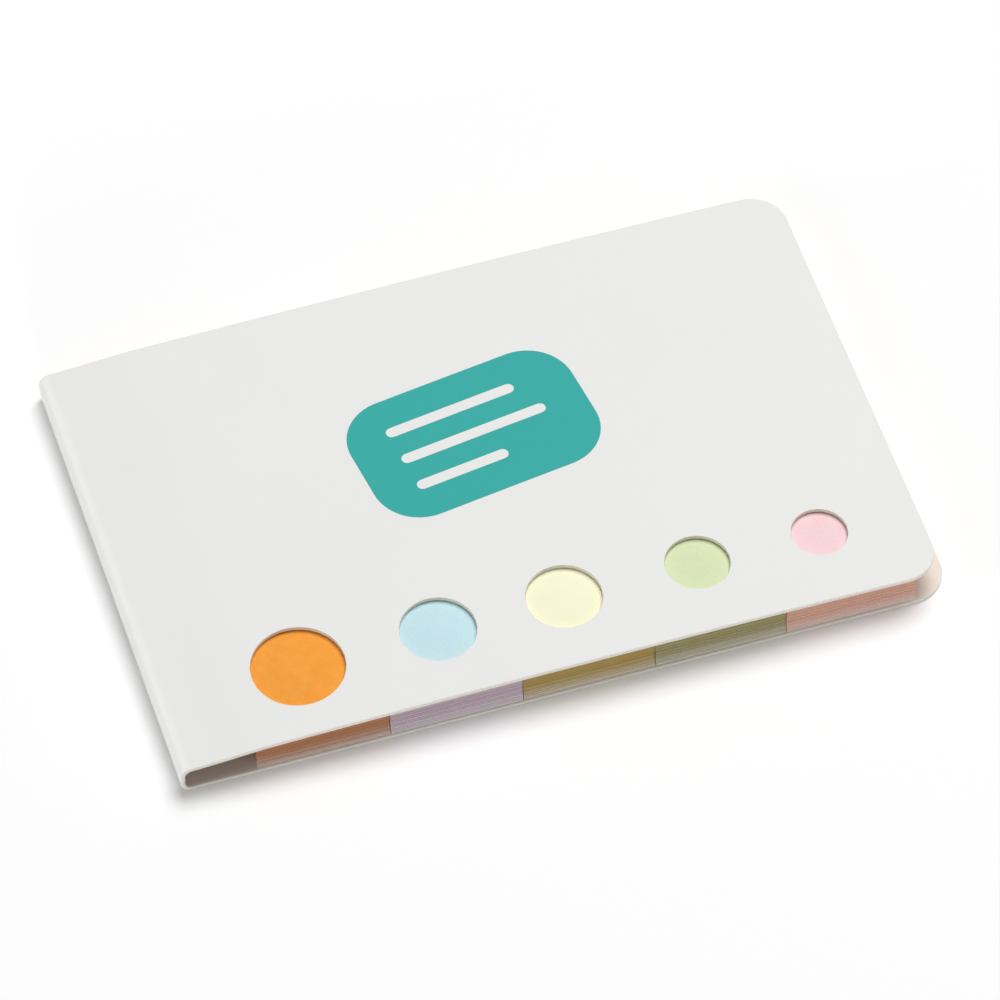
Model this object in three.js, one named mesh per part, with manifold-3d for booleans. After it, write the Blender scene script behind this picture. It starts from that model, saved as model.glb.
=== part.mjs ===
// A closed booklet of coloured page-marker pads, lying on its back cover.
// One strip of white card is folded into a back cover, a spine and a front cover.
// Five pads lie side by side on the back cover, and each shows through a round window.
// Millimetres, +Z up, +X from the spine to the free edge, -Y the long side with the windows.

import * as THREE from 'three';
import { mergeVertices } from 'three/addons/utils/BufferGeometryUtils.js';
import Module from 'manifold-3d';

// Pads of paper markers, counted from the spine, and the room that the cover leaves around them
const PAD_WIDTH = 14.8;
const PAD_LENGTH = 54.9;
const PAD_GAP = 0.2;
const PAD_CLEARANCE = 0.1;
const FIRST_PAD_DISTANCE = 8.6;
const FREE_EDGE_MARGIN = 3.1;
const WINDOW_SIDE_MARGIN = 0.6;
const FAR_SIDE_MARGIN = 1.1;

// Card
const CARD_THICKNESS = 0.5;
const BACK_COVER_OVERHANG = 1.2;
const FRONT_CORNER_RADIUS = 4.2;
const BACK_CORNER_RADIUS = 4.4;

// Spine and its two folds, measured outside the card
const SPINE_HEIGHT = 3.75;
const FOLD_RADIUS = 1.3;

// Rise of the front cover above the spine, where the pads push it up
const SHOULDER_PAST_PAD_EDGE = 2.4;
const SHOULDER_RISE = 0.4;
const CROWN_DISTANCE = 42;
const CROWN_RISE = 0.72;
const FREE_EDGE_RISE = 0.45;

// Windows in the front cover: each shift is from its pad's middle line, towards the free edge
const WINDOW_INSET = 9.1;
const PADS = [
  { name: 'orange', color: 0xf7a547, windowRadius: 5.17, windowShift: -0.2 },
  { name: 'blue', color: 0xc7e5ed, windowRadius: 4.2, windowShift: 0.6 },
  { name: 'yellow', color: 0xfef8d8, windowRadius: 4.2, windowShift: -0.1 },
  { name: 'green', color: 0xdce7bc, windowRadius: 3.59, windowShift: 0.15 },
  { name: 'pink', color: 0xfad7db, windowRadius: 3.11, windowShift: -0.8 },
];

// Printed label on the front cover: a tilted plate with three bare ruled lines
const PRINT_DISTANCE = 43.4;
const PRINT_OFFSET = 5.2;
const PRINT_LENGTH = 27;
const PRINT_WIDTH = 17;
const PRINT_CORNER_RADIUS = 5.5;
const PRINT_TILT = 8;
const PRINT_LINE_LENGTHS = [15.5, 17.5, 11];
const PRINT_LINE_WIDTH = 1.3;
const PRINT_LINE_PITCH = 4;
const PRINT_LIFT = 0.03;
const PRINT_THICKNESS = 0.1;

// Facets
const FOLD_STEPS = 8;
const ARCH_STEPS = 30;
const ARCH_CROWDING = 1.5;
const CORNER_STEPS = 8;
const WINDOW_SIDES = 48;
const MERGE_DISTANCE = 1e-4;

const wasm = await Module();
wasm.setup();

const padPitch = PAD_WIDTH + PAD_GAP;
const padsLength = PADS.length * padPitch - PAD_GAP;
const coverWidth = WINDOW_SIDE_MARGIN + PAD_LENGTH + FAR_SIDE_MARGIN;
const frontCoverLength = FIRST_PAD_DISTANCE + padsLength + FREE_EDGE_MARGIN;
const backCoverLength = frontCoverLength + BACK_COVER_OVERHANG;
const cutterHeight = 4 * SPINE_HEIGHT;

// The frame's origin is under the middle of the box that holds the closed booklet
const spineX = -backCoverLength / 2;
const windowSideY = -coverWidth / 2;
const farSideY = coverWidth / 2;

const card = new THREE.MeshStandardMaterial({ color: 0xeaeae8, roughness: 0.55, metalness: 0 });
const ink = new THREE.MeshStandardMaterial({ color: 0x44afa9, roughness: 0.5, metalness: 0 });

// Solids

function solidFrom(geometry) {
  const bare = geometry.clone();
  bare.deleteAttribute('normal');
  bare.deleteAttribute('uv');
  const merged = mergeVertices(bare, MERGE_DISTANCE);
  const mesh = new wasm.Mesh({
    numProp: 3,
    vertProperties: new Float32Array(merged.attributes.position.array),
    triVerts: new Uint32Array(merged.index.array),
  });
  return new wasm.Manifold(mesh);
}

function geometryFrom(solid) {
  const mesh = solid.getMesh();
  const geometry = new THREE.BufferGeometry();
  geometry.setAttribute('position', new THREE.BufferAttribute(mesh.vertProperties, 3));
  geometry.setIndex(new THREE.BufferAttribute(mesh.triVerts, 1));
  geometry.computeVertexNormals();
  return geometry;
}

// A side profile in X and Z, swept across the booklet from one Y to another
function sweepAcross(profile, fromY, toY) {
  const geometry = new THREE.ExtrudeGeometry(new THREE.Shape(profile), {
    depth: toY - fromY,
    steps: 1,
    bevelEnabled: false,
  });
  geometry.rotateX(Math.PI / 2);
  geometry.translate(0, toY, 0);
  return geometry;
}

// A plan outline in X and Y, raised through the whole height of the booklet
function raiseThrough(outline) {
  const geometry = new THREE.ExtrudeGeometry(outline, {
    depth: cutterHeight,
    steps: 1,
    bevelEnabled: false,
    curveSegments: CORNER_STEPS,
  });
  geometry.translate(0, 0, (SPINE_HEIGHT - cutterHeight) / 2);
  return geometry;
}

function namedMesh(name, geometry, material) {
  const mesh = new THREE.Mesh(geometry, material);
  mesh.name = name;
  return mesh;
}

// Outlines

// Height of the front cover's outer face, at a distance from the spine's outer face
function coverHeight(distance) {
  const run = distance - FOLD_RADIUS;
  const crownRun = CROWN_DISTANCE - FOLD_RADIUS;
  const fullRun = frontCoverLength - FOLD_RADIUS;
  const shoulderRun = FIRST_PAD_DISTANCE + SHOULDER_PAST_PAD_EDGE - FOLD_RADIUS;
  const lift = SHOULDER_RISE * THREE.MathUtils.smoothstep(run, 0, shoulderRun);
  const bend = (FREE_EDGE_RISE / fullRun - CROWN_RISE / crownRun) / (fullRun - crownRun);
  const arch = run * (CROWN_RISE / crownRun + bend * (run - crownRun));
  return SPINE_HEIGHT + lift + arch;
}

// Distances along the front cover at which its arch has a facet edge
function archStations() {
  const stations = [];
  for (let step = 0; step <= ARCH_STEPS; step += 1) {
    const share = (step / ARCH_STEPS) ** ARCH_CROWDING;
    stations.push(THREE.MathUtils.lerp(FOLD_RADIUS, frontCoverLength, share));
  }
  return stations;
}

// A quarter turn of a fold in X and Z, between two angles in degrees about its centre
function foldArc(centreZ, radius, fromDegrees, toDegrees) {
  const points = [];
  for (let step = 0; step <= FOLD_STEPS; step += 1) {
    const degrees = THREE.MathUtils.lerp(fromDegrees, toDegrees, step / FOLD_STEPS);
    const angle = THREE.MathUtils.degToRad(degrees);
    points.push(new THREE.Vector2(
      spineX + FOLD_RADIUS + radius * Math.cos(angle),
      centreZ + radius * Math.sin(angle),
    ));
  }
  return points;
}

// A cover seen from above: square at the spine, with two rounded corners at the free edge
function coverOutline(length, cornerRadius) {
  const freeX = spineX + length;
  const outline = new THREE.Shape();
  outline.moveTo(spineX, windowSideY);
  outline.lineTo(freeX - cornerRadius, windowSideY);
  outline.absarc(freeX - cornerRadius, windowSideY + cornerRadius, cornerRadius, -Math.PI / 2, 0);
  outline.lineTo(freeX, farSideY - cornerRadius);
  outline.absarc(freeX - cornerRadius, farSideY - cornerRadius, cornerRadius, 0, Math.PI / 2);
  outline.lineTo(spineX, farSideY);
  outline.closePath();
  return outline;
}

// A rectangle with round corners, about the origin
function roundedPlate(length, width, radius) {
  const plate = new THREE.Shape();
  const halfLength = length / 2 - radius;
  const halfWidth = width / 2 - radius;
  plate.absarc(halfLength, halfWidth, radius, 0, Math.PI / 2);
  plate.absarc(-halfLength, halfWidth, radius, Math.PI / 2, Math.PI);
  plate.absarc(-halfLength, -halfWidth, radius, Math.PI, 1.5 * Math.PI);
  plate.absarc(halfLength, -halfWidth, radius, 1.5 * Math.PI, 2 * Math.PI);
  plate.closePath();
  return plate;
}

// A line with round ends, centred on a point
function roundEndedLine(length, width, centreX, centreY) {
  const line = new THREE.Path();
  const radius = width / 2;
  const halfLength = length / 2 - radius;
  line.absarc(centreX + halfLength, centreY, radius, -Math.PI / 2, Math.PI / 2);
  line.absarc(centreX - halfLength, centreY, radius, Math.PI / 2, 1.5 * Math.PI);
  line.closePath();
  return line;
}

// Card pieces

function backCover() {
  const innerRadius = FOLD_RADIUS - CARD_THICKNESS;
  const freeX = spineX + backCoverLength;
  const profile = [
    ...foldArc(FOLD_RADIUS, FOLD_RADIUS, 180, 270),
    new THREE.Vector2(freeX, 0),
    new THREE.Vector2(freeX, CARD_THICKNESS),
    ...foldArc(FOLD_RADIUS, innerRadius, 270, 180),
  ];
  const sheet = solidFrom(sweepAcross(profile, windowSideY, farSideY));
  const outline = solidFrom(raiseThrough(coverOutline(backCoverLength, BACK_CORNER_RADIUS)));
  return namedMesh('back_cover', geometryFrom(sheet.intersect(outline)), card);
}

function spine() {
  const height = SPINE_HEIGHT - 2 * FOLD_RADIUS;
  const geometry = new THREE.BoxGeometry(CARD_THICKNESS, coverWidth, height);
  const mesh = namedMesh('spine', geometry, card);
  mesh.position.set(spineX + CARD_THICKNESS / 2, 0, SPINE_HEIGHT / 2);
  return mesh;
}

function padMiddle(index) {
  return FIRST_PAD_DISTANCE + index * padPitch + PAD_WIDTH / 2;
}

function windowCutter(pad, index) {
  const radius = pad.windowRadius;
  const geometry = new THREE.CylinderGeometry(radius, radius, cutterHeight, WINDOW_SIDES);
  const windowX = spineX + padMiddle(index) + pad.windowShift;
  geometry.rotateX(Math.PI / 2);
  geometry.translate(windowX, windowSideY + WINDOW_INSET, SPINE_HEIGHT);
  return solidFrom(geometry);
}

function frontCover() {
  const centreZ = SPINE_HEIGHT - FOLD_RADIUS;
  const innerRadius = FOLD_RADIUS - CARD_THICKNESS;
  const panel = archStations().slice(1);
  const outerFace = panel.map((distance) => new THREE.Vector2(spineX + distance, coverHeight(distance)));
  const innerFace = outerFace.map((point) => new THREE.Vector2(point.x, point.y - CARD_THICKNESS));
  const profile = [
    ...foldArc(centreZ, FOLD_RADIUS, 180, 90),
    ...outerFace,
    ...innerFace.reverse(),
    ...foldArc(centreZ, innerRadius, 90, 180),
  ];
  const sheet = solidFrom(sweepAcross(profile, windowSideY, farSideY));
  const outline = solidFrom(raiseThrough(coverOutline(frontCoverLength, FRONT_CORNER_RADIUS)));
  let cover = sheet.intersect(outline);
  PADS.forEach((pad, index) => {
    cover = cover.subtract(windowCutter(pad, index));
  });
  return namedMesh('front_cover', geometryFrom(cover), card);
}

// Pads and print

// A pad is pressed by the arched cover, so its top slopes as the cover above it does
function markerPad(pad, index) {
  const nearDistance = padMiddle(index) - PAD_WIDTH / 2;
  const farDistance = padMiddle(index) + PAD_WIDTH / 2;
  const topAt = (distance) => coverHeight(distance) - CARD_THICKNESS - PAD_CLEARANCE;
  const profile = [
    new THREE.Vector2(spineX + nearDistance, CARD_THICKNESS),
    new THREE.Vector2(spineX + farDistance, CARD_THICKNESS),
    new THREE.Vector2(spineX + farDistance, topAt(farDistance)),
    new THREE.Vector2(spineX + nearDistance, topAt(nearDistance)),
  ];
  const fromY = windowSideY + WINDOW_SIDE_MARGIN;
  const geometry = sweepAcross(profile, fromY, fromY + PAD_LENGTH);
  const paper = new THREE.MeshStandardMaterial({ color: pad.color, roughness: 0.9, metalness: 0 });
  return namedMesh(`marker_pad_${pad.name}`, geometry, paper);
}

function coverPrint() {
  const bottom = archStations().map((distance) => (
    new THREE.Vector2(spineX + distance, coverHeight(distance) + PRINT_LIFT)
  ));
  const top = bottom.map((point) => new THREE.Vector2(point.x, point.y + PRINT_THICKNESS));
  const skin = solidFrom(sweepAcross([...bottom.reverse(), ...top], windowSideY, farSideY));

  const plate = roundedPlate(PRINT_LENGTH, PRINT_WIDTH, PRINT_CORNER_RADIUS);
  const longestLine = Math.max(...PRINT_LINE_LENGTHS);
  PRINT_LINE_LENGTHS.forEach((length, index) => {
    const lineX = (length - longestLine) / 2;
    const lineY = ((PRINT_LINE_LENGTHS.length - 1) / 2 - index) * PRINT_LINE_PITCH;
    plate.holes.push(roundEndedLine(length, PRINT_LINE_WIDTH, lineX, lineY));
  });
  const stamp = raiseThrough(plate);
  stamp.rotateZ(THREE.MathUtils.degToRad(PRINT_TILT));
  stamp.translate(spineX + PRINT_DISTANCE, PRINT_OFFSET, 0);
  return namedMesh('cover_print', geometryFrom(skin.intersect(solidFrom(stamp))), ink);
}

// Assembly

const booklet = new THREE.Group();
booklet.add(backCover());
PADS.forEach((pad, index) => booklet.add(markerPad(pad, index)));
booklet.add(spine());
booklet.add(frontCover());
booklet.add(coverPrint());

export default booklet;
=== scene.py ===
"""A booklet of coloured page-marker pads in a folded card cover, dressed around its solid model.

Lengths are metres in the model's frame: +X runs from the spine to the free edge, +Z is up, and
-Y is the long side with the windows.
"""

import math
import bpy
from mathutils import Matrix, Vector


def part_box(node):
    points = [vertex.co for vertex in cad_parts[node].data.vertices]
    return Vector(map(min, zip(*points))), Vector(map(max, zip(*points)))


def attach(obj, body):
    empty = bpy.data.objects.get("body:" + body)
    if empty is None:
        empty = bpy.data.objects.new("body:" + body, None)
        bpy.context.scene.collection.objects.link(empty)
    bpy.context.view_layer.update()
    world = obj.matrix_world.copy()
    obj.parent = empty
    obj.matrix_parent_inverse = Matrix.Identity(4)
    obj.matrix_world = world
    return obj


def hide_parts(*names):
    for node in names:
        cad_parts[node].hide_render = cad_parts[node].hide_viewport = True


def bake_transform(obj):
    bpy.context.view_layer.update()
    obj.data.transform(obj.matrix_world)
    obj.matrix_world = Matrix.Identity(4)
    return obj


bl_info = {
    "name": "Page Marker Booklet",
    "version": (1, 0, 0),
    "blender": (4, 5, 0),
    "location": "View3D > Sidebar > Booklet",
    "description": "Card cover, marker pads, printed label and studio of a page-marker booklet",
    "category": "Add Mesh",
}

import bmesh
import bpy
import numpy as np
from bpy.props import FloatProperty, FloatVectorProperty, IntProperty, PointerProperty
from bpy.types import Operator, Panel, PropertyGroup
from mathutils import Matrix, Vector

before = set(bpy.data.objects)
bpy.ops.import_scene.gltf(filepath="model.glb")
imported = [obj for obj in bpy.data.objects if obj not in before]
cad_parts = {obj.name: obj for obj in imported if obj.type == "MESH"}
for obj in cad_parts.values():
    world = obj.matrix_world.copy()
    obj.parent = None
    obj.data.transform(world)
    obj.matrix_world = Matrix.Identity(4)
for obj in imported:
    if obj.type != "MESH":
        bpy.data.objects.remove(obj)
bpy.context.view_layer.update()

MM = 0.001
PAD_NAMES = ("orange", "blue", "yellow", "green", "pink")

# Sizes that the solid model settles
SPINE_LOW, SPINE_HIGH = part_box("spine")
FRONT_LOW, FRONT_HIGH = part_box("front_cover")
BACK_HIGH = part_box("back_cover")[1]
SPINE_X = SPINE_LOW[0]
CARD_THICKNESS = SPINE_HIGH[0] - SPINE_LOW[0]
FOLD_RADIUS = SPINE_LOW[2]
SPINE_HEIGHT = SPINE_LOW[2] + SPINE_HIGH[2]
COVER_WIDTH = FRONT_HIGH[1] - FRONT_LOW[1]
FRONT_LENGTH = FRONT_HIGH[0] - SPINE_X
BACK_LENGTH = BACK_HIGH[0] - SPINE_X
FIRST_PAD_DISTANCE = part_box("marker_pad_orange")[0][0] - SPINE_X
LABEL_LOW, LABEL_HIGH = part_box("cover_print")

# Lengths along the card's outer face, counted from the middle of the spine
FOLD_START = SPINE_HEIGHT / 2 - FOLD_RADIUS
FOLD_ARC = FOLD_RADIUS * math.pi / 2
FOLD_END = FOLD_START + FOLD_ARC

# How far each window's middle lies from its pad's middle line, towards the free edge
WINDOW_SHIFTS = (-0.2 * MM, 0.6 * MM, -0.1 * MM, 0.15 * MM, -0.8 * MM)

# Rows of points over each stretch of the flat card, from the spine to the free edge
SPINE_ROWS = 3
FOLD_ROWS = 15
GUTTER_ROWS = 12
WINDOW_ROWS = 15
PLAIN_ROWS = 40
TAIL_ROWS = 3
CORNER_ROWS = 13

# Rows across the strip that holds the windows and across the rest, and rows that round a cut edge
NEAR_ROWS = 9
FAR_ROWS = 18
EDGE_ROWS = 8

# How far past the first pad's edge the gutter's rows go, and how far before a corner the tail's start
GUTTER_PAST_PAD = 1 * MM
TAIL_BEFORE_CORNER = 2 * MM

# Where the plain rings round a window lie, as shares of the way to its rectangle
RING_SHARES = (0.12, 0.3, 0.6, 1.0)

# A point looks cut by this many times its nearness to the edge, less the start
CUT_STEEPNESS = 3
CUT_START = 0.6

# Points closer than this are one
MERGE_DISTANCE = 0.0005 * MM

# How far before the end of a fold its painted highlight fades
SPINE_HIGHLIGHT_FADE = 0.9 * MM

# The levels of one sheet, as a share of its height and a share of the groove's depth
SHEET_LEVELS = ((0.0, 1), (0.25, 0), (1.0, 0))

# The lowest share of a stack whose sheets slide out, and how pale their edges are drawn: painted light
# on the lowest sheets
FOOT_SHARE = 0.5
PAINTED_FOOT_LIGHT = 0.5

# Points along and across a film of ink, and the air under the label
FILM_POINTS = (41, 25)
LABEL_LIFT = 0.002 * MM

# How dark and how light a surface's mottling gets, as factors of its colour
CLOUD_TONES = (0.985, 1.01)
RIM_TONES = (0.9, 1.0)
FIBRE_TONES = (0.85, 1.15)
INK_TONES = (0.96, 1.03)

# The power that deepens a paper's dye in its mottling
DEEP_DYE = 1.18

# The point that the camera looks at, close to the booklet's middle
CAMERA_TARGET = (0.15 * MM, -2.43 * MM, 2 * MM)

# Half the table's side, and how far its top lies below the booklet so that the two faces don't meet
TABLE_REACH = 6.0
TABLE_DROP = 0.02 * MM

# Where each lamp hangs and how wide it is, in metres
LAMPS = {
    "key": ((0.92, 0.92, 2.48), 2.2),
    "side": ((-2.45, -0.25, 0.24), 0.4),
    "front": ((-0.5, -2.4, 0.24), 0.4),
}


def hex_colour(code):
    """An sRGB hex code as three numbers from 0 to 1, still in sRGB."""
    return tuple(int(code[i : i + 2], 16) / 255 for i in (0, 2, 4))


def linear(colour):
    """An sRGB colour turned to linear light by the standard's curve, with alpha 1."""
    value = np.array(colour[:3], float)
    low = value / 12.92
    high = ((value + 0.055) / 1.055) ** 2.4
    return (*np.where(value <= 0.04045, low, high), 1.0)


def length_property(name, description, default):
    """A length in metres that the sidebar can change."""
    return FloatProperty(
        name=name, description=description, default=default, unit="LENGTH", precision=5
    )


def angle_property(name, description, degrees):
    """An angle that the sidebar can change, given in degrees."""
    return FloatProperty(
        name=name, description=description, default=math.radians(degrees), subtype="ANGLE"
    )


def colour_property(name, description, code):
    """An sRGB colour that the sidebar can change."""
    return FloatVectorProperty(
        name=name,
        description=description,
        default=hex_colour(code),
        subtype="COLOR_GAMMA",
        size=3,
        min=0,
        max=1,
    )


class CardSettings(PropertyGroup):
    """Sizes of the folded card that the solid model's boxes don't give."""

    front_corner: length_property("Front corner", "Radius of the front cover's two corners", 4.2 * MM)
    back_corner: length_property("Back corner", "Radius of the back cover's two corners", 4.4 * MM)
    shoulder_past_pad: length_property(
        "Shoulder", "How far past the first pad's edge the front cover settles", 2.4 * MM
    )
    shoulder_rise: length_property("Shoulder rise", "Step up from the fold to the pads", 0.4 * MM)
    crown_distance: length_property("Crown distance", "Spine to the top of the arch", 42 * MM)
    crown_rise: length_property("Crown rise", "Rise of the arch at its top", 0.72 * MM)
    free_edge_rise: length_property("Free edge rise", "Rise of the arch at the free edge", 0.45 * MM)
    edge_rounding: length_property("Edge rounding", "Rounding of the cover's outer edges", 0.24 * MM)
    foot_rounding: length_property("Foot rounding", "Rounding of the back cover's inner edge", 0.55 * MM)
    window_rounding: length_property("Window rounding", "Rounding of the windows' edges", 0.09 * MM)
    edge_band: length_property("Edge band", "Width of the fine faces along a cut edge", 0.6 * MM)
    window_strip: length_property("Window strip", "Width of the strip that holds the windows", 17 * MM)
    window_inset: length_property("Window inset", "Near side to the windows' middles", 9.1 * MM)
    window_1: length_property("Orange window", "Radius of the window over the orange pad", 5.17 * MM)
    window_2: length_property("Blue window", "Radius of the window over the blue pad", 4.2 * MM)
    window_3: length_property("Yellow window", "Radius of the window over the yellow pad", 4.2 * MM)
    window_4: length_property("Green window", "Radius of the window over the green pad", 3.59 * MM)
    window_5: length_property("Pink window", "Radius of the window over the pink pad", 3.11 * MM)


class PadSettings(PropertyGroup):
    """The stacks of marker sheets."""

    sheets: IntProperty(name="Sheets", description="Sheets that show in each stack", default=30, min=2)
    stray: length_property("Stray", "How far a sheet strays from the stack's side", 0.05 * MM)
    groove: length_property("Groove", "Depth of the groove between two sheets", 0.03 * MM)
    spread: length_property("Spread", "How far a stack swells into the gap beside it", 0.08 * MM)
    foot: length_property("Foot", "How far the lowest sheets slide out of the stack", 0.38 * MM)
    clearance: length_property("Clearance", "Air between a pad and the cover above it", 0.05 * MM)


class LabelSettings(PropertyGroup):
    """The printed label: a tilted plate with three bare ruled lines."""

    length: length_property("Length", "Length of the label", 27 * MM)
    width: length_property("Width", "Width of the label", 17 * MM)
    corner: length_property("Corner", "Radius of the label's corners", 5.5 * MM)
    tilt: angle_property("Tilt", "Turn of the label", 8)
    line_width: length_property("Line width", "Width of a ruled line", 1.3 * MM)
    line_pitch: length_property("Line pitch", "Distance between ruled lines", 4 * MM)
    line_1: length_property("First line", "Length of the first ruled line", 15.5 * MM)
    line_2: length_property("Second line", "Length of the second ruled line", 17.5 * MM)
    line_3: length_property("Third line", "Length of the third ruled line", 11 * MM)
    film: length_property("Film", "Thickness that the ink is drawn with", 0.012 * MM)


class ColourSettings(PropertyGroup):
    """Colours of the card, the ink, the five papers and the sides of their stacks."""

    card: colour_property("Card", "Coated outer face of the card", "E6E6E4")
    lining: colour_property("Lining", "Uncoated inner face of the card", "E6DBD0")
    # Partly painted light: the cut edge is creamy, and drawn lighter than the coated face.
    core: colour_property("Core", "Cut edge of the card", "F2EFE6")
    # Painted shade: the cut edge in the windows is drawn in this darker colour.
    wall: colour_property("Window wall", "Cut edge of the card in the windows", "D6D2C4")
    # Painted highlight: the spine and its folds are drawn in this lighter colour, not in a different
    # coating.
    crease: colour_property("Crease", "Stretched coating on the spine and its folds", "FAFAF8")
    ink: colour_property("Ink", "Printed label", "38ACA6")
    orange: colour_property("Orange", "Paper of the first pad", "FBAC4B")
    blue: colour_property("Blue", "Paper of the second pad", "D0ECF3")
    yellow: colour_property("Yellow", "Paper of the third pad", "FFFDDF")
    green: colour_property("Green", "Paper of the fourth pad", "E3EDC5")
    pink: colour_property("Pink", "Paper of the fifth pad", "FEDEE2")
    # The stacks' sides are darker than their papers: partly their own deeper cut sides, partly painted
    # shade from the cover above them.
    orange_side: colour_property("Orange side", "Cut side of the first pad", "BB8562")
    blue_side: colour_property("Blue side", "Cut side of the second pad", "C9B6C2")
    yellow_side: colour_property("Yellow side", "Cut side of the third pad", "B79E60")
    green_side: colour_property("Green side", "Cut side of the fourth pad", "A7A073")
    pink_side: colour_property("Pink side", "Cut side of the fifth pad", "DFB09D")


class StageSettings(PropertyGroup):
    """Camera, lamps and floor."""

    azimuth: angle_property("Azimuth", "Camera's turn round the booklet", -18.04)
    elevation: angle_property("Elevation", "Camera's height", 52.28)
    roll: angle_property("Roll", "Camera's turn about its own axis", 0.33)
    distance: length_property("Distance", "Camera to the point it looks at", 0.8028)
    focal: FloatProperty(name="Focal length", description="Lens in millimetres", default=263.05)
    key_power: FloatProperty(name="Key power", description="High lamp in watts", default=74.0)
    side_power: FloatProperty(name="Side power", description="Lamp at the spine in watts", default=15.0)
    front_power: FloatProperty(name="Front power", description="Near lamp in watts", default=12.0)
    sky: FloatProperty(name="Sky", description="Strength of the even light all round", default=0.19)
    table_glow: FloatProperty(
        name="Table glow", description="Light that the camera sees the table give off", default=0.05
    )


class BookletSettings(PropertyGroup):
    """Everything that the sidebar can change."""

    card: PointerProperty(type=CardSettings)
    pads: PointerProperty(type=PadSettings)
    label: PointerProperty(type=LabelSettings)
    colours: PointerProperty(type=ColourSettings)
    stage: PointerProperty(type=StageSettings)


# Shapes


def cover_height(distance, card):
    """Height of the front cover's outer face, at distances from the spine's outer face.

    From the fold it is a smooth step of the shoulder's rise, plus the parabola through nothing at the
    fold, the crown's rise at the crown and the free edge's rise at the free edge.
    """
    run = distance - FOLD_RADIUS
    crown_run = card.crown_distance - FOLD_RADIUS
    full_run = FRONT_LENGTH - FOLD_RADIUS
    shoulder_run = FIRST_PAD_DISTANCE + card.shoulder_past_pad - FOLD_RADIUS
    share = np.clip(run / shoulder_run, 0, 1)
    lift = card.shoulder_rise * share**2 * (3 - 2 * share)
    bend = (card.free_edge_rise / full_run - card.crown_rise / crown_run) / (full_run - crown_run)
    return SPINE_HEIGHT + lift + run * (card.crown_rise / crown_run + bend * (run - crown_run))


def card_profile(along, side, height_at):
    """Outer face of half the folded card, at lengths along it from the middle of the spine.

    It goes straight up half the spine, round a quarter circle of the fold's radius, and on along the
    panel, whose height is height_at(distance). side is 1 for the front and -1 for the back, and the
    back is the front turned over about the spine's middle. Returns X, Z and the outward normal.
    """
    turn = np.clip((along - FOLD_START) / FOLD_RADIUS, 0, math.pi / 2)
    x = FOLD_RADIUS * (1 - np.cos(turn))
    z = SPINE_HEIGHT / 2 + np.minimum(along, FOLD_START) + FOLD_RADIUS * np.sin(turn)
    normal_x = -np.cos(turn)
    normal_z = np.sin(turn)
    run = np.maximum(along - FOLD_START - FOLD_ARC, 0)
    on_panel = run > 0
    distance = FOLD_RADIUS + run
    step = 0.01 * MM
    slope = (height_at(distance + step) - height_at(distance - step)) / (2 * step)
    long = np.hypot(1, slope)
    x = np.where(on_panel, distance, x)
    z = np.where(on_panel, height_at(distance), z)
    normal_x = np.where(on_panel, -slope / long, normal_x)
    normal_z = np.where(on_panel, 1 / long, normal_z)
    if side < 0:
        z = SPINE_HEIGHT - z
        normal_z = -normal_z
    return SPINE_X + x, z, normal_x, normal_z


def along_at(distance):
    """Length along the card at which its panel lies that far from the spine's outer face."""
    return FOLD_END + distance - FOLD_RADIUS


def joined(*runs):
    """Sample positions run after run, without the points that two runs share."""
    return np.unique(np.round(np.concatenate(runs), 9))


def disc_share(first, second):
    """Where two offsets lie in a corner's square, and the factor that turns the square round there.

    A point keeps its direction from the square's inner corner, and its distance becomes the larger
    of its two offsets, which turns the square into a quarter disc.
    """
    inside = (first > 0) & (second > 0)
    reach = np.where(inside, np.hypot(first, second), 1)
    return inside, np.where(inside, np.maximum(first, second) / reach, 1)


def rounded(along, across, end, half_width, radius):
    """Draws the two square corners at the end of a flat sheet in to quarter discs."""
    out_along = along - (end - radius)
    out_across = np.abs(across) - (half_width - radius)
    inside, share = disc_share(out_along, out_across)
    new_along = np.where(inside, end - radius + out_along * share, along)
    new_across = np.where(inside, np.sign(across) * (half_width - radius + out_across * share), across)
    return new_along, new_across


def edge_shares():
    """How far in from a cut edge each row of points that rounds it lies, as shares of the rounding."""
    return 1 - np.cos(np.linspace(0, math.pi / 2, EDGE_ROWS))


def border_patch(along, across, normal_along, normal_across, inner_rounding, card):
    """The fine band between a sheet's inner outline and its cut edge.

    Each row is the outline moved along its outward direction, less one of the edge's shares of the
    rounding. The first row is the cut edge itself. Returns a patch as sheet_patches gives them.
    """
    shares = np.append(edge_shares(), card.edge_band / card.edge_rounding)[:, None]
    way_in = shares * card.edge_rounding + 0 * along
    out = card.edge_band - way_in
    outer_share = way_in / card.edge_rounding
    inner_share = way_in / inner_rounding
    return along + normal_along * out, across + normal_across * out, outer_share, inner_share, 0


def window_patch(low, high, centre, radius, samples_along, samples_across, card):
    """A rectangle of sheet with a round window: rings from the window's edge to the rectangle.

    Each point of the rectangle's outline is joined to the point of the circle in its direction.
    """
    bottom = [(a, low[1]) for a in samples_along[:-1]]
    right = [(high[0], c) for c in samples_across[:-1]]
    top = [(a, high[1]) for a in samples_along[:0:-1]]
    left = [(low[0], c) for c in samples_across[:0:-1]]
    outline = np.array(bottom + right + top + left + bottom[:1])
    offset = outline - centre
    reach = np.hypot(offset[:, 0], offset[:, 1])
    direction = offset / reach[:, None]
    shares = edge_shares()[:, None]
    spread = np.array(RING_SHARES)[:, None]
    near = radius + shares * card.window_rounding + 0 * reach
    far = (radius + card.window_rounding) * (1 - spread) + reach * spread
    rings = np.concatenate([near, far])
    from_edge = np.concatenate([shares + 0 * reach, np.ones_like(far)])
    along = centre[0] + rings * direction[:, 0]
    across = centre[1] + rings * direction[:, 1]
    return along, across, from_edge, from_edge, 1


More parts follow.
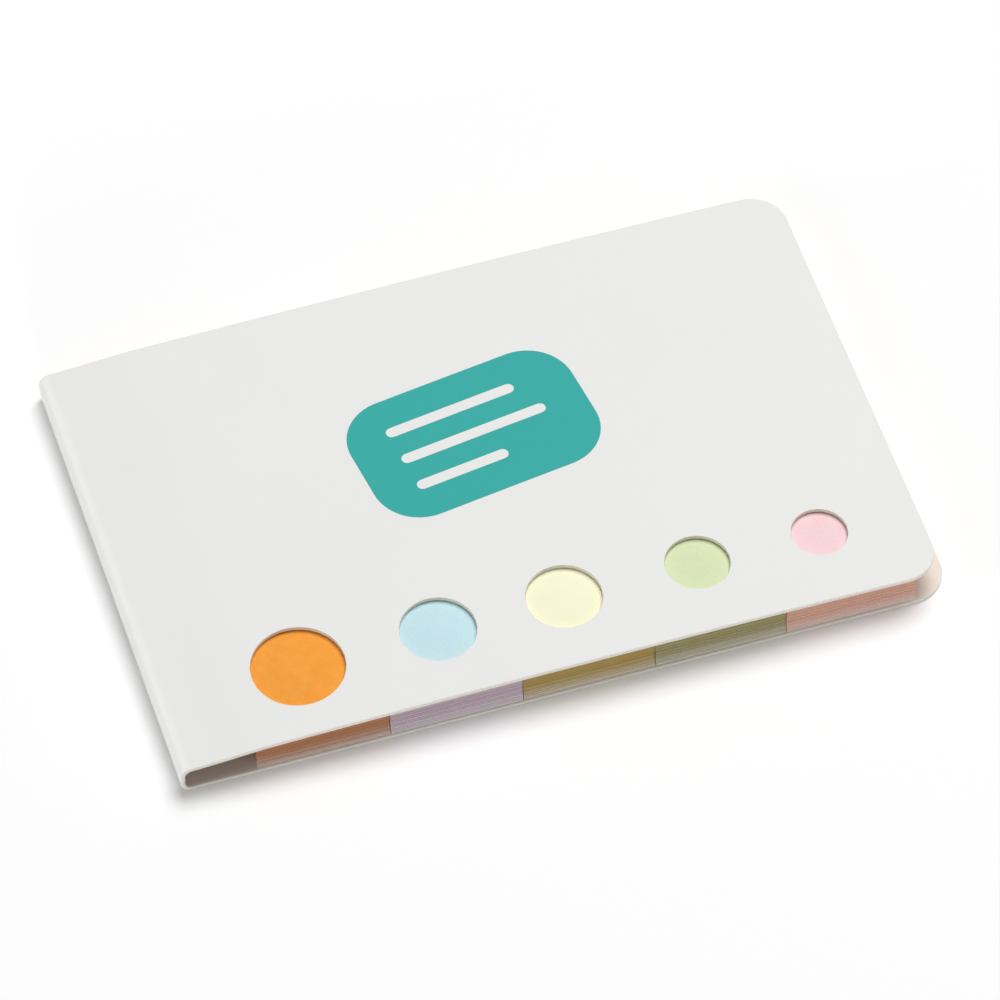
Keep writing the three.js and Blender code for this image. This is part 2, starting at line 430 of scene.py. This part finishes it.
def sheet_patches(end, corner, windows, inner_rounding, card):
    """Cuts a flat sheet into patches that share their outlines' points.

    Each patch holds arrays of length along, of width across and, for the outer and the inner face,
    of how far in from a cut edge each point lies, as a share of that face's rounding. A last number
    is 1 for a patch round a window.
    """
    band = card.edge_band
    inner_end = end - band
    half = COVER_WIDTH / 2 - band
    inner_corner = corner - band
    strip_top = card.window_strip - COVER_WIDTH / 2
    gutter_end = along_at(FIRST_PAD_DISTANCE + GUTTER_PAST_PAD)
    tail_start = inner_end - inner_corner - TAIL_BEFORE_CORNER

    gutter = joined(
        np.linspace(0, FOLD_START, SPINE_ROWS),
        np.linspace(FOLD_START, FOLD_END, FOLD_ROWS),
        np.linspace(FOLD_END, gutter_end, GUTTER_ROWS),
    )
    tail = joined(
        np.linspace(tail_start, inner_end - inner_corner, TAIL_ROWS),
        np.linspace(inner_end - inner_corner, inner_end, CORNER_ROWS),
    )
    near_across = joined(
        np.linspace(-half, inner_corner - half, CORNER_ROWS),
        np.linspace(inner_corner - half, strip_top, NEAR_ROWS),
    )
    far_across = joined(
        np.linspace(strip_top, half - inner_corner, FAR_ROWS),
        np.linspace(half - inner_corner, half, CORNER_ROWS),
    )

    middles = [centre[0] for centre, _ in windows]
    walls = [gutter_end, *[(a + b) / 2 for a, b in zip(middles, middles[1:])], tail_start]
    if windows:
        spans = [np.linspace(a, b, WINDOW_ROWS) for a, b in zip(walls, walls[1:])]
    else:
        spans = [np.linspace(gutter_end, tail_start, PLAIN_ROWS)]
    every_along = joined(gutter, *spans, tail)

    def grid(along, across):
        a, c = np.meshgrid(along, across, indexing="ij")
        a, c = rounded(a, c, inner_end, half, inner_corner)
        return a, c, np.ones_like(a), np.ones_like(a), 0

    patches = [grid(every_along, far_across), grid(gutter, near_across), grid(tail, near_across)]
    if windows:
        for (centre, radius), span in zip(windows, spans):
            low, high = (span[0], -half), (span[-1], strip_top)
            patches.append(window_patch(low, high, centre, radius, span, near_across, card))
    else:
        patches.append(grid(spans[0], near_across))

    every_across = joined(near_across, far_across)
    long, wide = len(every_along), len(every_across)
    path_along = np.concatenate([every_along, np.full(wide, inner_end), every_along[::-1]])
    path_across = np.concatenate([np.full(long, -half), every_across, np.full(long, half)])
    side_along = np.repeat([0.0, 1.0, 0.0], [long, wide, long])
    side_across = np.repeat([-1.0, 0.0, 1.0], [long, wide, long])
    path_along, path_across = rounded(path_along, path_across, inner_end, half, inner_corner)
    out_along = path_along - (inner_end - inner_corner)
    out_across = np.abs(path_across) - (half - inner_corner)
    turning = (out_along > 0) & (out_across > 0)
    side_along = np.where(turning, out_along / inner_corner, side_along)
    side_across = np.where(turning, np.sign(path_across) * out_across / inner_corner, side_across)
    patches.append(
        border_patch(path_along, path_across, side_along, side_across, inner_rounding, card)
    )
    return patches


def grid_faces(rows, columns):
    """The quads of a grid of points, as point numbers that count row by row."""
    index = np.arange(rows * columns).reshape(rows, columns)
    corners = (index[:-1, :-1], index[1:, :-1], index[1:, 1:], index[:-1, 1:])
    return np.stack(corners, axis=-1).reshape(-1, 4)


def closed_card(name, patches, side, height_at, card):
    """Turns flat patches into one closed card: an outer and an inner face that meet at the cut edges.

    Half the card's thickness shrinks towards a cut edge as a superellipse of power 3, so the edge is
    a wall with well rounded corners. The open end at the middle of the spine is filled.
    """
    points, faces = [], []
    marks = {"cut_edge": [], "window_wall": [], "inner_face": [], "crease": []}
    start = 0
    for along, across, outer_share, inner_share, in_window in patches:
        x, z, normal_x, normal_z = card_profile(along, side, height_at)
        inward = 1 - np.minimum(outer_share, 1)
        quads = grid_faces(*along.shape)
        for lining, share in enumerate((outer_share, inner_share)):
            depth = CARD_THICKNESS / 2 * np.cbrt(1 - (1 - np.minimum(share, 1)) ** 3)
            offset = (depth, -depth)[lining] - CARD_THICKNESS / 2
            layer = np.stack([x + normal_x * offset, across, z + normal_z * offset], axis=-1)
            points.append(layer.reshape(-1, 3))
            faces.append(quads + start)
            cut = np.clip(CUT_STEEPNESS * inward - CUT_START, 0, 1)
            marks["cut_edge"].append(cut)
            # Where the windows' cut edge gets painted shade
            marks["window_wall"].append(cut * in_window)
            marks["inner_face"].append(np.full(along.shape, float(lining)))
            # Where the spine and its folds get a painted highlight, fading out past the fold
            marks["crease"].append(np.clip((FOLD_END - along) / SPINE_HIGHLIGHT_FADE, 0, 1))
            start += along.size
    mesh = bpy.data.meshes.new(name)
    mesh.from_pydata(np.concatenate(points).tolist(), [], np.concatenate(faces).tolist())
    for title, parts in marks.items():
        values = np.concatenate([part.ravel() for part in parts])
        attribute = mesh.attributes.new(title, "FLOAT", "POINT")
        attribute.data.foreach_set("value", values.astype(np.float32))
    bm = bmesh.new()
    bm.from_mesh(mesh)
    bmesh.ops.remove_doubles(bm, verts=bm.verts, dist=MERGE_DISTANCE)
    bmesh.ops.dissolve_degenerate(bm, edges=bm.edges, dist=MERGE_DISTANCE)
    open_edges = [edge for edge in bm.edges if edge.is_boundary]
    bmesh.ops.holes_fill(bm, edges=open_edges, sides=0)
    bmesh.ops.recalc_face_normals(bm, faces=bm.faces)
    bm.to_mesh(mesh)
    bm.free()
    mesh.shade_smooth()
    return mesh


def window_list(card):
    """Centre and radius of each window, with the centre given along and across the flat card."""
    radii = (card.window_1, card.window_2, card.window_3, card.window_4, card.window_5)
    windows = []
    for name, radius, shift in zip(PAD_NAMES, radii, WINDOW_SHIFTS):
        low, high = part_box("marker_pad_" + name)
        distance = (low[0] + high[0]) / 2 + shift - SPINE_X
        windows.append((np.array([along_at(distance), card.window_inset - COVER_WIDTH / 2]), radius))
    return windows


def pad_mesh(name, low, high, settings, seed):
    """A stack of sheets: rectangles one above another, each sheet strayed a little and grooved below.

    Level k lies at the share k of the pad's height, which differs at its two ends because the top
    follows the arched cover. The lowest sheets slide out towards the long sides, by the foot times
    the square of what is left up to the foot's height.
    """
    card, pads = settings.card, settings.pads
    chance = np.random.default_rng(seed)
    end_heights = []
    for x in (low[0], high[0]):
        top = cover_height(np.array(x - SPINE_X), card) - CARD_THICKNESS - pads.clearance
        end_heights.append(float(top) - low[2])
    corners_x = np.array([0.0, 1.0, 1.0, 0.0])
    corners_y = np.array([0.0, 0.0, 1.0, 1.0])
    outward_x = corners_x * 2 - 1
    outward_y = corners_y * 2 - 1
    height = end_heights[0] + (end_heights[1] - end_heights[0]) * corners_x
    stray = chance.uniform(-1, 0, (pads.sheets, 2)) * pads.stray
    levels, slides = [], []
    for sheet in range(pads.sheets):
        for share, groove_share in SHEET_LEVELS:
            groove = groove_share * pads.groove
            inset_x = pads.spread + stray[sheet, 0] - groove
            slide = max(1 - (sheet + share) / pads.sheets / FOOT_SHARE, 0) ** 2
            inset_y = stray[sheet, 1] - groove + slide * pads.foot
            x = low[0] + (high[0] - low[0]) * corners_x + outward_x * inset_x
            y = low[1] + (high[1] - low[1]) * corners_y + outward_y * inset_y
            z = low[2] + height * (sheet + share) / pads.sheets
            levels.append(np.stack([x, y, z], axis=-1))
            slides.append(slide)
    points = np.concatenate(levels)
    ring = np.arange(len(points)).reshape(-1, 4)
    turned = np.roll(ring, -1, axis=1)
    walls = np.stack([ring[:-1], turned[:-1], turned[1:], ring[1:]], axis=-1).reshape(-1, 4)
    faces = np.concatenate([walls, ring[:1, ::-1], ring[-1:]])
    mesh = bpy.data.meshes.new(name)
    mesh.from_pydata(points.tolist(), [], faces.tolist())
    sides = np.ones(len(walls))
    feet = np.repeat(slides[:-1], 4)
    for title, values in (("cut_side", sides), ("foot", feet)):
        attribute = mesh.attributes.new(title, "FLOAT", "FACE")
        attribute.data.foreach_set("value", np.append(values, [0, 0]).astype(np.float32))
    return mesh


def film_mesh(name, length, width, radius, centre, turn, lift, settings):
    """A film of ink with round corners that lies on the arched cover.

    A flat grid has its corners drawn in to quarter discs, is turned and moved, and gets the cover's
    height at each point. Its copy underneath and a wall between their outlines close it.
    """
    unit_u, unit_v = (np.linspace(-1, 1, points) for points in FILM_POINTS)
    u, v = np.meshgrid(unit_u, unit_v, indexing="ij")
    half_length, half_width = length / 2, width / 2
    u, v = u * half_length, v * half_width
    over_u = np.abs(u) - (half_length - radius)
    over_v = np.abs(v) - (half_width - radius)
    corner, share = disc_share(over_u, over_v)
    u = np.where(corner, np.sign(u) * (half_length - radius + over_u * share), u)
    v = np.where(corner, np.sign(v) * (half_width - radius + over_v * share), v)
    x = centre[0] + u * math.cos(turn) - v * math.sin(turn)
    y = centre[1] + u * math.sin(turn) + v * math.cos(turn)
    z = cover_height(x - SPINE_X, settings.card) + lift
    quads = grid_faces(*x.shape)
    top = np.stack([x, y, z + settings.label.film], axis=-1).reshape(-1, 3)
    bottom = np.stack([x, y, z], axis=-1).reshape(-1, 3)
    index = np.arange(x.size).reshape(x.shape)
    rim = np.concatenate([index[:, 0], index[-1, 1:], index[-2::-1, -1], index[0, -2:0:-1]])
    next_rim = np.roll(rim, -1)
    walls = np.stack([rim + x.size, next_rim + x.size, next_rim, rim], axis=-1)
    points = np.concatenate([top, bottom])
    faces = np.concatenate([quads, quads[:, ::-1] + x.size, walls])
    mesh = bpy.data.meshes.new(name)
    mesh.from_pydata(points.tolist(), [], faces.tolist())
    return mesh


# Materials


def add_node(tree, kind, settings=None, **links):
    """Adds a node, sets its properties and unlinked sockets, and links its other sockets."""
    node = tree.nodes.new(kind)
    for key, value in (settings or {}).items():
        if hasattr(node, key) and key not in node.inputs:
            setattr(node, key, value)
        else:
            node.inputs[key].default_value = value
    for key, source in links.items():
        tree.links.new(source, node.inputs[key.replace("_", " ")])
    return node


def new_material(name):
    """An empty node material and its tree."""
    material = bpy.data.materials.new(name)
    material.use_nodes = True
    material.node_tree.nodes.clear()
    return material, material.node_tree


def finish_surface(tree, shader):
    """Links a shader to the material's output."""
    output = add_node(tree, "ShaderNodeOutputMaterial")
    tree.links.new(shader.outputs[0], output.inputs["Surface"])


def tone(tree, source, dark, light):
    """A mix of two colours by a factor. Each colour is a value or another node's output."""
    mix = add_node(tree, "ShaderNodeMix", {"data_type": "RGBA"})
    tree.links.new(source, mix.inputs[0])
    for socket, colour in ((mix.inputs[6], dark), (mix.inputs[7], light)):
        if isinstance(colour, bpy.types.NodeSocket):
            tree.links.new(colour, socket)
        else:
            socket.default_value = colour
    return mix.outputs[2]


def attribute_factor(tree, name):
    """A number from 0 to 1 that the mesh carries under that name."""
    return add_node(tree, "ShaderNodeAttribute", {"attribute_name": name}).outputs["Fac"]


def noise(tree, place, size, detail, roughness):
    """A noise whose patches are about that many metres wide."""
    settings = {"Scale": 1 / size, "Detail": detail, "Roughness": roughness}
    return add_node(tree, "ShaderNodeTexNoise", settings, Vector=place)


def shaded(colour, factor):
    """A linear colour made darker or lighter."""
    return tuple(min(channel * factor, 1.0) for channel in colour[:3]) + (1.0,)


def mottled(tree, source, colour, tones):
    """A linear colour that a pattern varies between two factors of itself."""
    return tone(tree, source, shaded(colour, tones[0]), shaded(colour, tones[1]))


def coated_card(colours):
    """Solid bleached board with a matt clay coating, die-cut and creased.

    The coating gives an even, slightly cloudy white with a soft sheen. The uncoated inside is warm
    and dull, and the cut edges are creamy and rough, drawn lighter than the coating as painted light.
    The spine and its folds get a painted highlight, and the cut in the windows gets painted shade;
    neither is known from the material. That the coating is lighter on the spine and the cut darker in
    the windows follows the photograph, and isn't known from the material.
    """
    material, tree = new_material("coated_card")
    place = add_node(tree, "ShaderNodeTexCoord").outputs["Object"]
    # Pulp clouds are about 14 mm wide. The coating's grain is finer than 0.35 mm, and drawn so to show.
    cloud = noise(tree, place, 14 * MM, detail=3.0, roughness=0.5)
    grain = noise(tree, place, 0.35 * MM, detail=4.0, roughness=0.6)
    cut = attribute_factor(tree, "cut_edge")
    panel = mottled(tree, cloud.outputs["Fac"], linear(colours.card), CLOUD_TONES)
    # The spine and its folds get a painted highlight: a lighter colour mixed in.
    outside = tone(tree, attribute_factor(tree, "crease"), panel, linear(colours.crease))
    both_faces = tone(tree, attribute_factor(tree, "inner_face"), outside, linear(colours.lining))
    # The cut edge's colour is partly painted light, lighter than the coated face.
    rim = mottled(tree, grain.outputs["Fac"], linear(colours.core), RIM_TONES)
    # The cut edge in the windows gets painted shade: a darker colour mixed in.
    edge = tone(tree, attribute_factor(tree, "window_wall"), rim, linear(colours.wall))
    colour = tone(tree, cut, both_faces, edge)
    gloss = add_node(tree, "ShaderNodeMapRange", {"To Min": 0.5, "To Max": 0.9}, Value=cut)
    bump = add_node(
        tree, "ShaderNodeBump", {"Strength": 0.12, "Distance": 0.02 * MM}, Height=grain.outputs["Fac"]
    )
    shader = add_node(
        tree,
        "ShaderNodeBsdfPrincipled",
        {"IOR": 1.5, "Specular IOR Level": 0.35},
        Base_Color=colour,
        Roughness=gloss.outputs["Result"],
        Normal=bump.outputs["Normal"],
    )
    finish_surface(tree, shader)
    return material


def note_paper(name, colour, side_colour_and_shade):
    """Uncoated dyed note paper, cut in stacks: matt, fibrous and mottled.

    The cut side is darker than the paper: partly the stack's own deeper cut side, partly painted
    shade from the cover above. It is painted paler at the foot, where the sheets slide out, as
    painted light. Neither is known from the paper.
    """
    material, tree = new_material(name + "_note_paper")
    place = add_node(tree, "ShaderNodeTexCoord").outputs["Object"]
    # Real fibres are about 0.03 mm thick, and are drawn at 0.22 mm so that they show.
    fibre = noise(tree, place, 0.22 * MM, detail=3.0, roughness=0.6)
    mottle = noise(tree, place, 1.2 * MM, detail=3.0, roughness=0.55)
    both = add_node(tree, "ShaderNodeMath", {"operation": "MULTIPLY"})
    tree.links.new(fibre.outputs["Fac"], both.inputs[0])
    tree.links.new(mottle.outputs["Fac"], both.inputs[1])
    # The product of the two noises seldom leaves the range that is spread out here.
    spread = add_node(
        tree, "ShaderNodeMapRange", {"From Min": 0.12, "From Max": 0.42}, Value=both.outputs[0]
    )
    base = linear(colour)
    deep = tuple(channel**DEEP_DYE for channel in base[:3]) + (1.0,)
    sheet = tone(tree, spread.outputs["Result"], deep, base)
    # The side's colour holds painted shade from the cover above, besides the stack's own deeper tone.
    side = linear(side_colour_and_shade)
    # Painted light: the foot of the stack is drawn paler.
    pale = tuple(PAINTED_FOOT_LIGHT + (1 - PAINTED_FOOT_LIGHT) * channel for channel in side[:3]) + (1.0,)
    even_side = mottled(tree, fibre.outputs["Fac"], side, FIBRE_TONES)
    stack_side = tone(tree, attribute_factor(tree, "foot"), even_side, pale)
    paper = tone(tree, attribute_factor(tree, "cut_side"), sheet, stack_side)
    bump = add_node(
        tree, "ShaderNodeBump", {"Strength": 0.8, "Distance": 0.05 * MM}, Height=fibre.outputs["Fac"]
    )
    shader = add_node(
        tree,
        "ShaderNodeBsdfPrincipled",
        {"Roughness": 0.92, "IOR": 1.45, "Specular IOR Level": 0.25},
        Base_Color=paper,
        Normal=bump.outputs["Normal"],
    )
    finish_surface(tree, shader)
    return material


def offset_ink(name, colour, roughness, specular):
    """Offset ink on coated card: an even, satin film through which the card's grain just shows."""
    material, tree = new_material(name)
    place = add_node(tree, "ShaderNodeTexCoord").outputs["Object"]
    grain = noise(tree, place, 0.4 * MM, detail=4.0, roughness=0.6)
    film = mottled(tree, grain.outputs["Fac"], linear(colour), INK_TONES)
    bump = add_node(
        tree, "ShaderNodeBump", {"Strength": 0.1, "Distance": 0.02 * MM}, Height=grain.outputs["Fac"]
    )
    shader = add_node(
        tree,
        "ShaderNodeBsdfPrincipled",
        {"Roughness": roughness, "IOR": 1.5, "Specular IOR Level": specular},
        Base_Color=film,
        Normal=bump.outputs["Normal"],
    )
    finish_surface(tree, shader)
    return material


def add_object(name, mesh, material):
    """An object at the origin with one material."""
    piece = bpy.data.objects.new(name, mesh)
    bpy.context.collection.objects.link(piece)
    mesh.materials.append(material)
    return piece


# Operators


class BOOKLET_OT_back_card(Operator):
    """The back cover, the lower fold and the lower half of the spine"""

    bl_idname = "booklet.back_card"
    bl_label = "Back card"

    def execute(self, context):
        settings = context.scene.booklet
        card = settings.card
        patches = sheet_patches(
            along_at(BACK_LENGTH), card.back_corner, [], card.foot_rounding, card
        )

        def flat(distance):
            return SPINE_HEIGHT + 0 * distance

        mesh = closed_card("back_card", patches, -1, flat, card)
        piece = add_object("back_card", mesh, coated_card(settings.colours))
        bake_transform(piece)
        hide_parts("back_cover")
        return {"FINISHED"}


class BOOKLET_OT_front_card(Operator):
    """The front cover with its five windows, the upper fold and the upper half of the spine"""

    bl_idname = "booklet.front_card"
    bl_label = "Front card"

    def execute(self, context):
        settings = context.scene.booklet
        card = settings.card
        patches = sheet_patches(
            along_at(FRONT_LENGTH), card.front_corner, window_list(card), card.edge_rounding, card
        )

        def arched(distance):
            return cover_height(distance, card)

        mesh = closed_card("front_card", patches, 1, arched, card)
        piece = add_object("front_card", mesh, bpy.data.materials["coated_card"])
        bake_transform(piece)
        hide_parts("front_cover", "spine")
        return {"FINISHED"}


class BOOKLET_OT_pads(Operator):
    """The five pads of marker sheets"""

    bl_idname = "booklet.pads"
    bl_label = "Marker pads"

    def execute(self, context):
        settings = context.scene.booklet
        for seed, name in enumerate(PAD_NAMES):
            low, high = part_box("marker_pad_" + name)
            mesh = pad_mesh("pad_" + name, low, high, settings, seed)
            colours = settings.colours
            paper = note_paper(name, getattr(colours, name), getattr(colours, name + "_side"))
            piece = add_object("pad_" + name, mesh, paper)
            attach(piece, "back_cover")
            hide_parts("marker_pad_" + name)
        return {"FINISHED"}


class BOOKLET_OT_label(Operator):
    """The printed label on the front cover"""

    bl_idname = "booklet.label"
    bl_label = "Printed label"

    def execute(self, context):
        settings = context.scene.booklet
        label = settings.label
        centre = np.array([(LABEL_LOW[0] + LABEL_HIGH[0]) / 2, (LABEL_LOW[1] + LABEL_HIGH[1]) / 2])
        plate_mesh = film_mesh(
            "label_plate",
            label.length,
            label.width,
            label.corner,
            centre,
            label.tilt,
            LABEL_LIFT,
            settings,
        )
        colours = settings.colours
        ink = offset_ink("teal_offset_ink", colours.ink, roughness=0.6, specular=0.12)
        plate = add_object("label_plate", plate_mesh, ink)
        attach(plate, "front_cover")
        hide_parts("cover_print")
        bare = offset_ink("bare_line", colours.card, roughness=0.5, specular=0.35)
        lengths = (label.line_1, label.line_2, label.line_3)
        across = Vector((-math.sin(label.tilt), math.cos(label.tilt)))
        forward = Vector((math.cos(label.tilt), math.sin(label.tilt)))
        for number, length in enumerate(lengths):
            title = f"label_line_{number + 1}"
            shift = forward * (length - max(lengths)) / 2 + across * (1 - number) * label.line_pitch
            place = centre + np.array(shift)
            mesh = film_mesh(
                title,
                length,
                label.line_width,
                label.line_width / 2,
                place,
                label.tilt,
                LABEL_LIFT + label.film,
                settings,
            )
            line = add_object(title, mesh, bare)
            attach(line, "front_cover")
        return {"FINISHED"}


class BOOKLET_OT_stage(Operator):
    """Camera, lamps, sky and floor"""

    bl_idname = "booklet.stage"
    bl_label = "Stage"

    def execute(self, context):
        stage = context.scene.booklet.stage
        scene = context.scene
        scene.view_settings.view_transform = "Standard"
        self.add_camera(scene, stage)
        for name, (place, width) in LAMPS.items():
            self.add_lamp(scene, name + "_lamp", place, width, getattr(stage, name + "_power"))
        self.add_sky(scene, stage)
        self.add_floor(scene, stage)
        return {"FINISHED"}

    def add_camera(self, scene, stage):
        """Looks at the booklet's middle from the photograph's angle."""
        data = bpy.data.cameras.new("camera")
        data.lens = stage.focal
        data.sensor_width = 36
        data.clip_start = 0.01
        data.clip_end = 50
        camera = bpy.data.objects.new("camera", data)
        scene.collection.objects.link(camera)
        level = math.cos(stage.elevation)
        back = Vector((
            math.sin(stage.azimuth) * level,
            -math.cos(stage.azimuth) * level,
            math.sin(stage.elevation),
        ))
        target = Vector(CAMERA_TARGET)
        turn = (-back).to_track_quat("-Z", "Y").to_matrix() @ Matrix.Rotation(stage.roll, 3, "Z")
        camera.matrix_world = Matrix.Translation(target + back * stage.distance) @ turn.to_4x4()
        scene.camera = camera

    def add_lamp(self, scene, name, place, width, power):
        """A round soft lamp that faces the booklet."""
        data = bpy.data.lights.new(name, "AREA")
        data.shape = "DISK"
        data.size = width
        data.energy = power
        lamp = bpy.data.objects.new(name, data)
        scene.collection.objects.link(lamp)
        lamp.location = place
        lamp.rotation_euler = (-Vector(place)).to_track_quat("-Z", "Y").to_euler()

    def add_sky(self, scene, stage):
        """An even pale sky that the camera sees as white."""
        world = bpy.data.worlds.new("studio_sky")
        world.use_nodes = True
        tree = world.node_tree
        tree.nodes.clear()
        path = add_node(tree, "ShaderNodeLightPath")
        seen = add_node(tree, "ShaderNodeMath", {"operation": "MAXIMUM"})
        tree.links.new(path.outputs["Is Camera Ray"], seen.inputs[0])
        tree.links.new(path.outputs["Is Glossy Ray"], seen.inputs[1])
        strength = add_node(
            tree, "ShaderNodeMapRange", {"To Min": stage.sky, "To Max": 1.0}, Value=seen.outputs[0]
        )
        sky = add_node(
            tree, "ShaderNodeBackground", {"Color": (1, 1, 1, 1)}, Strength=strength.outputs["Result"]
        )
        output = add_node(tree, "ShaderNodeOutputWorld")
        tree.links.new(sky.outputs[0], output.inputs["Surface"])
        scene.world = world

    def add_floor(self, scene, stage):
        """A white table top that keeps the booklet's shadow."""
        material, tree = new_material("white_table")
        path = add_node(tree, "ShaderNodeLightPath")
        glow = add_node(
            tree,
            "ShaderNodeMapRange",
            {"To Min": 0.0, "To Max": stage.table_glow},
            Value=path.outputs["Is Camera Ray"],
        )
        diffuse = add_node(tree, "ShaderNodeBsdfDiffuse", {"Color": (0.98, 0.98, 0.98, 1)})
        light = add_node(
            tree, "ShaderNodeEmission", {"Color": (1, 1, 1, 1)}, Strength=glow.outputs["Result"]
        )
        both = add_node(tree, "ShaderNodeAddShader")
        tree.links.new(diffuse.outputs[0], both.inputs[0])
        tree.links.new(light.outputs[0], both.inputs[1])
        finish_surface(tree, both)
        mesh = bpy.data.meshes.new("table_top")
        turns = ((-1, -1), (1, -1), (1, 1), (-1, 1))
        corners = [(x * TABLE_REACH, y * TABLE_REACH, -TABLE_DROP) for x, y in turns]
        mesh.from_pydata(corners, [], [(0, 1, 2, 3)])
        add_object("table_top", mesh, material)


class BOOKLET_PT_sidebar(Panel):
    """Lists the booklet's operators and sizes"""

    bl_idname = "BOOKLET_PT_sidebar"
    bl_label = "Booklet"
    bl_space_type = "VIEW_3D"
    bl_region_type = "UI"
    bl_category = "Booklet"

    def draw(self, context):
        layout = self.layout
        for operator in OPERATORS:
            layout.operator(operator.bl_idname)
        settings = context.scene.booklet
        for group in (settings.card, settings.pads, settings.label, settings.colours, settings.stage):
            box = layout.box()
            for key in group.bl_rna.properties.keys():
                if key not in ("rna_type", "name"):
                    box.prop(group, key)


OPERATORS = (
    BOOKLET_OT_back_card,
    BOOKLET_OT_front_card,
    BOOKLET_OT_pads,
    BOOKLET_OT_label,
    BOOKLET_OT_stage,
)
SETTINGS = (CardSettings, PadSettings, LabelSettings, ColourSettings, StageSettings, BookletSettings)


def register():
    for item in (*SETTINGS, *OPERATORS, BOOKLET_PT_sidebar):
        bpy.utils.register_class(item)
    bpy.types.Scene.booklet = PointerProperty(type=BookletSettings)


def unregister():
    del bpy.types.Scene.booklet
    for item in reversed((*SETTINGS, *OPERATORS, BOOKLET_PT_sidebar)):
        bpy.utils.unregister_class(item)


def main():
    """Registers the add-on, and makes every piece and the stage."""
    register()
    bpy.ops.booklet.back_card()
    bpy.ops.booklet.front_card()
    bpy.ops.booklet.pads()
    bpy.ops.booklet.label()
    bpy.ops.booklet.stage()


if __name__ == "__main__":
    main()
